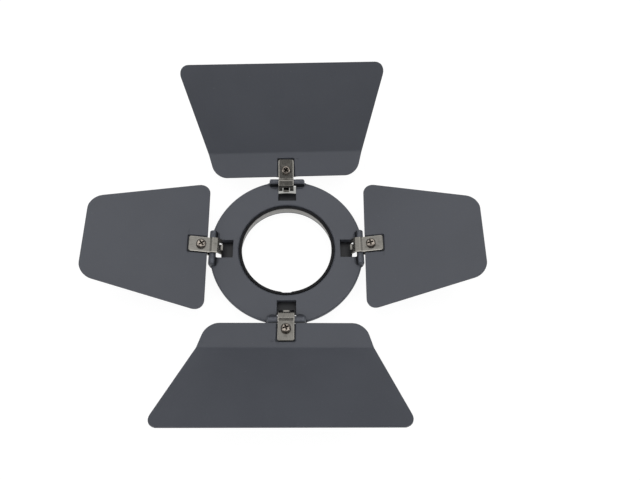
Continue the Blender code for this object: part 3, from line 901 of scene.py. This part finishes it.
class Shader:
    """A material whose nodes are added by one method."""

    def __init__(self, name, world=False):
        """Start a material with its Principled node, or a world with its Background."""
        self.material = (bpy.data.worlds if world else bpy.data.materials).new(name)
        self.material.use_nodes = True
        self.tree = self.material.node_tree
        self.surface = self.tree.nodes["Background" if world else "Principled BSDF"]
        self.place = self.node("ShaderNodeTexCoord", {}, {}, "Generated" if world else "Object")

    def connect(self, target, value):
        """Set a socket, or link it."""
        if isinstance(value, Value):
            self.tree.links.new(value.socket, target)
        elif isinstance(value, tuple) and len(value) == 3 and target.type == "RGBA":
            target.default_value = (*value, 1.0)
        else:
            target.default_value = value

    def node(self, kind, given, inputs, output=0):
        """Add a node: its settings first, then the values or links of its sockets."""
        made = self.tree.nodes.new(kind)
        for name, value in given.items():
            setattr(made, name, value)
        for key, value in inputs.items():
            self.connect(made.inputs[key], value)
        return Value(self, made.outputs[output])

    def noise(self, scale, detail=2.0, place=None):
        """Noise from 0 to 1, its scale in features per metre."""
        inputs = {"Vector": place or self.place, "Scale": scale, "Detail": detail}
        return self.node("ShaderNodeTexNoise", {}, inputs)

    def vector(self, operation, first, *second):
        """A Vector Math node whose result is a number."""
        inputs = dict(enumerate((first, *second)))
        return self.node("ShaderNodeVectorMath", {"operation": operation}, inputs, "Value")

    def part(self, vector, axis):
        """One part of a vector: 0 is x, 1 is y and 2 is z."""
        return self.node("ShaderNodeSeparateXYZ", {}, {0: vector}, axis)

    def mix(self, factor, first, second):
        """Mix two colours."""
        return self.node("ShaderNodeMix", {"data_type": "RGBA"}, {0: factor, 6: first, 7: second}, 2)

    def bump(self, height, distance, strength=1.0, normal=None):
        """Bump from a height from 0 to 1 that stands for a distance."""
        inputs = {"Strength": strength, "Distance": distance, "Height": height}
        if normal is not None:
            inputs["Normal"] = normal
        return self.node("ShaderNodeBump", {}, inputs)

    def feed(self, **sockets):
        """Fill the Principled node's sockets, named with _ for spaces."""
        for name, value in sockets.items():
            self.connect(self.surface.inputs[name.replace("_", " ")], value)
        return self.material


def scaled(shade_of, factor):
    """A colour made lighter or darker."""
    return tuple(min(1.0, c * factor) for c in shade_of)


def cast_shade_and_marks(sh, tone, paint):
    """Painted shade in the slots and on the lugs' sides, a lighter grey with fine rings in the bore,
    and rubbed paint with a painted highlight on the bars' tops.
    """
    s = settings().ring
    axis = joint_of("right")["pos_m"]
    # Nearly black paint that stands for shade, in the slots and along the lugs' sides
    painted_shade = scaled(paint, 0.12)
    height = sh.part(sh.place, 2)
    flat = sh.node("ShaderNodeVectorMath", {"operation": "MULTIPLY"}, {0: sh.place, 1: (1.0, 1.0, 0.0)})
    radius = sh.vector("LENGTH", flat)
    # Painted shade: the slots' floors and lower walls darkened
    pocket_shade = radius.step(s.slot_inner - 0.7 * MM, s.slot_inner - 0.2 * MM)
    pocket_shade = pocket_shade * (1 - height.step(s.slot_floor + 0.3 * MM, s.slot_floor + MM))
    tone = sh.mix(pocket_shade * 0.95, tone, painted_shade)
    # Painted shade: the lugs' steep sides and fillets above the front face darkened
    x = sh.part(sh.place, 0).math("ABSOLUTE")
    y = sh.part(sh.place, 1).math("ABSOLUTE")
    beside = (x.math("MAXIMUM", y) - axis[0]).math("ABSOLUTE")
    flank_shade = beside.step(1.2 * MM, 1.7 * MM) * height.step(s.front + 0.1 * MM, s.front + 0.3 * MM)
    tone = sh.mix(flank_shade * 0.9, tone, painted_shade)
    # A lighter grey with fine rings in the bore
    bore = 1 - radius.step(s.bore + 0.05 * MM, s.bore + 0.15 * MM)
    bore = bore * height.step(MM, 1.4 * MM)
    rings = sh.noise(9000.0, 1.0, height)
    bore_grey = sh.mix(rings.step(0.3, 0.7), (0.22, 0.215, 0.205), (0.42, 0.41, 0.39))
    tone = sh.mix(bore, tone, bore_grey)
    # Lighter paint on the bars' and lugs' tops, blotched by noise: rubbed paint and a painted highlight
    rub_and_highlight = height.step(axis[2] + 1.2 * MM, axis[2] + 1.8 * MM)
    rub_and_highlight = rub_and_highlight * sh.noise(700.0, 3.0).step(0.4, 0.62)
    return sh.mix(rub_and_highlight * 0.35, tone, scaled(paint, 1.9)), rub_and_highlight


def paint_material(name):
    """Fine satin powder coat, with the casting's painted shade, bore grey and rubbed tops, or painted
    shade in the leaves' recess.
    """
    finish = settings().finish
    paint = tuple(finish.paint)
    sh = Shader(name)
    cloud = sh.noise(28.0, 3.0)
    grain = sh.noise(2300.0, 2.0)
    peel = sh.noise(620.0, 2.0)
    tone = sh.mix(cloud.step(0.3, 0.7), scaled(paint, 0.95), scaled(paint, 1.05))
    tone = sh.mix(grain.step(0.35, 0.75) * 0.18, tone, scaled(paint, 1.35))
    specks = sh.noise(900.0, 1.0).step(0.74, 0.8)
    tone = sh.mix(specks * 0.25, tone, scaled(paint, 2.0))
    rough = finish.paint_rough + 0.05 * (cloud - 0.5) + 0.08 * (peel - 0.5)
    if name == "paint_cast":
        tone, rub_and_highlight = cast_shade_and_marks(sh, tone, paint)
        rough = rough - rub_and_highlight * 0.08
    else:
        # Painted shade: the leaf's recess round the clip darkened
        end, half = dish_edges()
        flat = sh.node("ShaderNodeUVMap", {"uv_map": "along"}, {}, 0)
        edge = 0.3 * MM
        across = sh.part(flat, 1).math("ABSOLUTE")
        recess = (1 - sh.part(flat, 0).step(end, end + edge)) * (1 - across.step(half, half + edge))
        tone = sh.mix(recess * 0.9, tone, scaled(paint, 0.3))
    normal = sh.bump(peel, 0.02 * MM, 0.5)
    normal = sh.bump(grain, 0.012 * MM, 0.6, normal)
    return sh.feed(Base_Color=tone, Roughness=rough, Normal=normal, Specular_IOR_Level=0.3)


def rubber_material(name):
    """Matt black rubber with a faint bloom."""
    rubber = tuple(settings().finish.rubber)
    sh = Shader(name)
    bloom = sh.noise(260.0, 4.0)
    grain = sh.noise(2600.0, 2.0)
    tone = sh.mix(bloom.step(0.35, 0.75), rubber, scaled(rubber, 2.0))
    rough = 0.62 + 0.12 * (bloom - 0.5)
    return sh.feed(Base_Color=tone, Roughness=rough, Normal=sh.bump(grain, 0.015 * MM, 0.5),
                   Specular_IOR_Level=0.15)


def nickel_material(name):
    """Nickel-plated strip steel, brushed along its length, with small stains and a painted highlight
    along its rims.
    """
    nickel = tuple(settings().finish.nickel)
    sh = Shader(name)
    along = sh.node("ShaderNodeUVMap", {"uv_map": "along"}, {}, 0)
    stretched = sh.node("ShaderNodeMapping", {}, {"Vector": along, "Scale": (0.06, 1.0, 1.0)})
    streak = sh.noise(5200.0, 3.0, stretched)
    stain = sh.noise(330.0, 4.0)
    tone = sh.mix(streak.step(0.3, 0.7), scaled(nickel, 0.82), scaled(nickel, 1.16))
    tone = sh.mix(stain.step(0.58, 0.72) * 0.35, tone, scaled(nickel, 0.62))
    # Painted highlight: a lighter band along both long edges of the strip
    half = settings().clip.width / 2
    across = sh.part(along, 1).math("ABSOLUTE")
    rim = across.step(half - 0.5 * MM, half - 0.25 * MM)
    tone = sh.mix(rim * 0.8, tone, scaled(nickel, 2.6))
    rough = 0.28 + 0.14 * (streak - 0.5) + 0.12 * stain.step(0.5, 0.75)
    return sh.feed(Base_Color=tone, Roughness=rough, Metallic=1.0,
                   Normal=sh.bump(streak, 0.006 * MM, 0.5))


def zinc_material(name):
    """Bright zinc-plated steel of the screws and nuts, with painted shade in the cross recess."""
    zinc = tuple(settings().finish.zinc)
    sh = Shader(name)
    stain = sh.noise(900.0, 4.0)
    fine = sh.noise(4200.0, 2.0)
    tone = sh.mix(stain.step(0.45, 0.7), zinc, scaled(zinc, 0.6))
    # Painted shade: the faces of the cross recess made nearly black
    deep = sh.node("ShaderNodeAttribute", {"attribute_name": "deep"}, {}, "Fac")
    tone = sh.mix(deep * 0.95, tone, (0.012, 0.009, 0.007))
    rough = 0.22 + 0.16 * stain.step(0.4, 0.75)
    return sh.feed(Base_Color=tone, Roughness=rough, Metallic=1.0,
                   Normal=sh.bump(fine, 0.004 * MM, 0.4))


# The maker of each material, and the slot that its pieces fill
FINISHES = {
    "paint_cast": (paint_material, "grey_paint"),
    "paint_sheet": (paint_material, "grey_paint"),
    "rubber": (rubber_material, "black_rubber"),
    "nickel": (nickel_material, "nickel_plate"),
    "zinc": (zinc_material, "zinc_steel"),
}


# ---- stage


def make_camera():
    """Camera on a line through its target, turned by its roll."""
    s = settings().stage
    flat = math.cos(s.elevation)
    ahead = Vector((math.sin(s.azimuth) * flat, math.cos(s.azimuth) * flat, -math.sin(s.elevation)))
    right = Vector((math.cos(s.azimuth), -math.sin(s.azimuth), 0))
    up = right.cross(ahead)
    data = bpy.data.cameras.new("camera")
    data.lens = s.lens
    data.sensor_width = 36.0
    data.shift_x, data.shift_y = s.shift_x, s.shift_y
    data.clip_start, data.clip_end = 0.01, 20.0
    camera = bpy.data.objects.new("camera", data)
    turn = Matrix((right, up, -ahead)).transposed().to_4x4() @ Matrix.Rotation(s.roll, 4, "Z")
    camera.matrix_world = Matrix.Translation(Vector(s.target) - ahead * s.distance) @ turn
    bpy.context.scene.collection.objects.link(camera)
    bpy.context.scene.camera = camera


def make_floor():
    """A wide pale lit floor just under the ring, darker where the ring's far side shades it."""
    s = settings()
    reach, drop = 6.0, 0.1 * MM
    line = np.linspace(-reach, reach, 3)
    x, y = np.meshgrid(line, line, indexing="ij")
    points = np.stack([x, y, np.full_like(x, -drop)], -1)
    floor = make_piece("floor", points, grid_faces(3, 3))
    sh = Shader("floor_paint")
    cloud = sh.noise(3.0, 2.0)
    pale = tuple(s.finish.floor)
    far = sh.vector("LENGTH", sh.place)
    shaded = sh.part(sh.place, 1).step(0.7 * s.ring.hub, 0.8 * s.ring.hub)
    shaded = shaded * (1 - far.step(s.ring.rim + MM, s.ring.rim + 2.5 * MM))
    glow = sh.mix(shaded, WHITE, (0.42, 0.42, 0.40))
    sh.feed(Base_Color=sh.mix(cloud, scaled(pale, 0.99), scaled(pale, 1.01)), Roughness=0.9,
            Specular_IOR_Level=0.0, Emission_Color=glow, Emission_Strength=s.stage.floor_glow)
    floor.data.materials.append(sh.material)


def make_world():
    """Soft studio light: a pale backdrop, a dim band over it, a broad light overhead.

    Radiance is low + (overhead - low) smoothstep(z) of a direction's height z, less the
    flag that shades a cone round one direction, plus the backdrop near the horizon, two
    small lights at the sides and one beyond the top leaf.
    """
    s = settings().stage
    sh = Shader("studio", world=True)
    height = sh.part(sh.place, 2)
    towards = sh.vector("DOT_PRODUCT", sh.place, FLAG_TOWARDS)
    glow = s.low + (s.overhead - s.low) * height.step(0.58, 0.95)
    glow = glow * (1 - s.flag * towards.step(0.93, 0.98))
    glow = glow + s.backdrop * (1 - height.step(0.2, 0.3))
    for direction, radiance, edge, core in SOFT_LIGHTS:
        facing = sh.vector("DOT_PRODUCT", sh.place, direction)
        glow = glow + getattr(s, radiance) * facing.step(edge, core)
    sh.feed(Color=WHITE, Strength=glow)
    bpy.context.scene.world = sh.material


# ---- operators


class Builds:
    """What the pieces' operators share: their makers, called for each group of arguments."""

    makers = ()
    sides = ((),)

    def execute(self, context):
        """Build the pieces."""
        for arguments in self.sides:
            for make in self.makers:
                make(*arguments)
        return {"FINISHED"}


class OBJECT_OT_barn_door_casting(Builds, Operator):
    """Make the cast ring"""

    bl_idname = "object.barn_door_casting"
    bl_label = "Ring casting"
    makers = (make_casting,)


class OBJECT_OT_barn_door_seal(Builds, Operator):
    """Make the rubber seal"""

    bl_idname = "object.barn_door_seal"
    bl_label = "Rubber seal"
    makers = (make_seal,)


class OBJECT_OT_barn_door_leaves(Builds, Operator):
    """Make the four sheet leaves"""

    bl_idname = "object.barn_door_leaves"
    bl_label = "Leaves"
    makers = (make_leaf,)
    sides = tuple(zip(SIDES))


class OBJECT_OT_barn_door_clips(Builds, Operator):
    """Make the front and rear clips"""

    bl_idname = "object.barn_door_clips"
    bl_label = "Clips"
    makers = (make_front_clip, make_rear_clip)
    sides = tuple(zip(SIDES))


class OBJECT_OT_barn_door_fasteners(Builds, Operator):
    """Make the clamp screws and nuts"""

    bl_idname = "object.barn_door_fasteners"
    bl_label = "Screws and nuts"
    makers = (make_screw, make_nut)
    sides = tuple(zip(SIDES))


class OBJECT_OT_barn_door_stage(Operator):
    """Make the floor, lights and camera"""

    bl_idname = "object.barn_door_stage"
    bl_label = "Stage"

    def execute(self, context):
        """Build the stage."""
        make_camera()
        make_floor()
        make_world()
        context.scene.view_settings.view_transform = "Standard"
        return {"FINISHED"}


OPERATORS = (
    OBJECT_OT_barn_door_stage,
    OBJECT_OT_barn_door_casting,
    OBJECT_OT_barn_door_seal,
    OBJECT_OT_barn_door_leaves,
    OBJECT_OT_barn_door_clips,
    OBJECT_OT_barn_door_fasteners,
)


class VIEW3D_PT_barn_door(Panel):
    """Sizes, finishes and buttons of the barn door attachment"""

    bl_idname = "VIEW3D_PT_barn_door"
    bl_label = "Barn door"
    bl_space_type = "VIEW_3D"
    bl_region_type = "UI"
    bl_category = "Barn door"

    def draw(self, context):
        """List the buttons and every property."""
        for operator in OPERATORS:
            self.layout.operator(operator.bl_idname)
        for group_name in ("ring", "leaf", "clip", "finish", "stage"):
            group = getattr(context.scene.barn_door, group_name)
            box = self.layout.box()
            box.label(text=group_name.capitalize())
            for name in group.__annotations__:
                box.prop(group, name)


CLASSES = (RingSizes, LeafSizes, ClipSizes, Finishes, StageSizes, BarnDoorSettings,
           *OPERATORS, VIEW3D_PT_barn_door)


def register():
    """Register the classes and hang the settings on the scene."""
    for each in CLASSES:
        bpy.utils.register_class(each)
    bpy.types.Scene.barn_door = PointerProperty(type=BarnDoorSettings)


def unregister():
    """Undo register."""
    del bpy.types.Scene.barn_door
    for each in reversed(CLASSES):
        bpy.utils.unregister_class(each)


def main():
    register()
    for operator in OPERATORS:
        group, name = operator.bl_idname.split(".")
        getattr(getattr(bpy.ops, group), name)()


if __name__ == "__main__":
    main()
